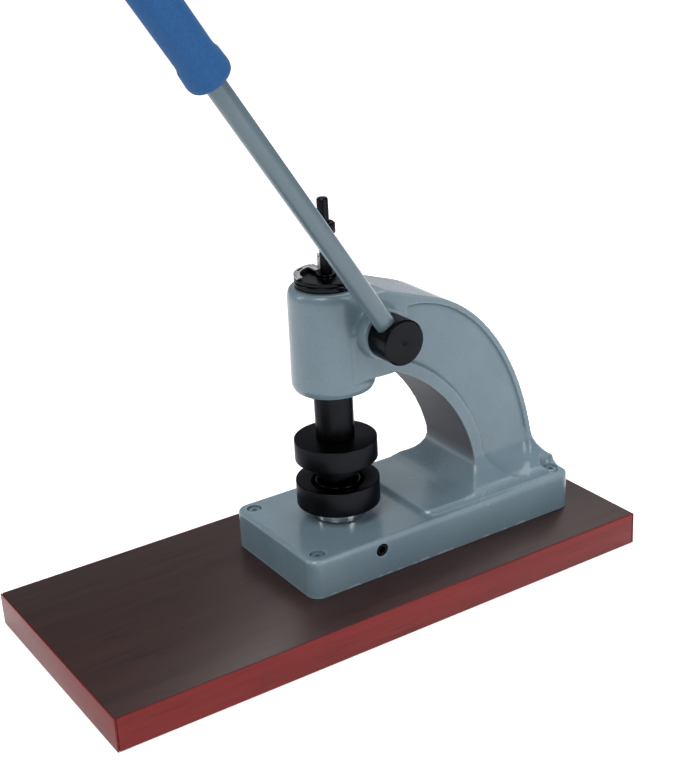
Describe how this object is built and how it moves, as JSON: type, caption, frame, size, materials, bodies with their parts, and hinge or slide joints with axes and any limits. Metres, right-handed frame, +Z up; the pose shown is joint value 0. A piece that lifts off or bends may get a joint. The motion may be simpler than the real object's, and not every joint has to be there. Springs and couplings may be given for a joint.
{
  "type": "grommet setter",
  "caption": "Hand press that sets grommets: lever, pinion and toothed ram in a cast C-frame on a laminated board, with an upper and a lower die.",
  "frame": {"origin": "centre of the board's underside", "axes": "+Z up along the ram's travel, +X towards the lever's side, -Y towards the operator"},
  "size_m": [0.155, 0.352, 0.4175],
  "materials": {
    "chipboard": "raw",
    "wood_laminate": "satin",
    "mahogany_band": "satin",
    "painted_iron": "gloss paint",
    "screw_paint": "gloss paint",
    "plated_steel": "polished",
    "black_oxide": "black oxide",
    "steel": "turned",
    "grey_sheet": "satin",
    "bronze": "turned",
    "nylon": "moulded",
    "blue_grip": "textured"
  },
  "bodies": {
    "stand": {"board_core": "chipboard", "board_top_laminate": "wood_laminate", "edge_band_left": "mahogany_band", "edge_band_right": "mahogany_band", "edge_band_front": "mahogany_band", "edge_band_rear": "mahogany_band", "press_frame": "painted_iron", "base_screw_front_left": "screw_paint", "base_screw_front_right": "screw_paint", "base_screw_rear_left": "screw_paint", "base_screw_rear_right": "screw_paint", "die_post": "plated_steel", "lower_die_cup": "black_oxide", "lower_die_pilot": "black_oxide", "ram_bush": "bronze", "cap_lock_ring": "black_oxide", "head_cap": "black_oxide", "cap_lock_plate": "grey_sheet", "ram_brake_pad": "nylon", "shaft_bush_right": "bronze", "shaft_bush_left": "bronze"},
    "lever": {"pinion_shaft": "steel", "shaft_washer": "steel", "shaft_retaining_ring": "steel", "lever_hub": "black_oxide", "hub_pin": "steel", "lever_rod": "painted_iron", "grip": "blue_grip"},
    "ram_slide": {"ram": "black_oxide", "stop_rod": "black_oxide", "upper_die": "black_oxide", "upper_die_punch": "black_oxide"},
    "stop": {"stop_collar": "black_oxide"},
    "stop_screw": {"stop_collar_screw": "black_oxide"},
    "die_lock": {"die_post_set_screw": "black_oxide"},
    "upper_lock": {"upper_die_set_screw": "black_oxide"},
    "brake_screw": {"ram_brake_screw": "black_oxide"}
  },
  "joints": [
    {"name": "lever_turn", "type": "hinge", "parent": "stand", "child": "lever", "pos_m": [0, 0.0272, 0.1621], "axis": [1, 0, 0], "range_deg": [-110, 8]},
    {"name": "ram_travel", "type": "slide", "parent": "stand", "child": "ram_slide", "axis": [0, 0, 1], "range_m": [-0.0013, 0.0174]},
    {"name": "collar_slide", "type": "slide", "parent": "ram_slide", "child": "stop", "axis": [0, 0, 1], "range_m": [-0.0145, 0.013]},
    {"name": "collar_screw_turn", "type": "hinge", "parent": "stop", "child": "stop_screw", "pos_m": [-0.005, 0.011, 0.22], "axis": [1, 0, 0], "range_deg": [0, 360]},
    {"name": "die_lock_turn", "type": "hinge", "parent": "stand", "child": "die_lock", "pos_m": [0.03, 0.011, 0.037], "axis": [1, 0, 0], "range_deg": [0, 360]},
    {"name": "upper_lock_turn", "type": "hinge", "parent": "ram_slide", "child": "upper_lock", "pos_m": [-0.009, 0.011, 0.1026], "axis": [1, 0, 0], "range_deg": [0, 360]},
    {"name": "brake_screw_turn", "type": "hinge", "parent": "stand", "child": "brake_screw", "pos_m": [-0.018, 0.011, 0.157], "axis": [1, 0, 0], "range_deg": [0, 360]}
  ],
  "couplings": [
    {"joint": "ram_travel", "follows": "lever_turn", "m_per_rad": -0.009}
  ]
}
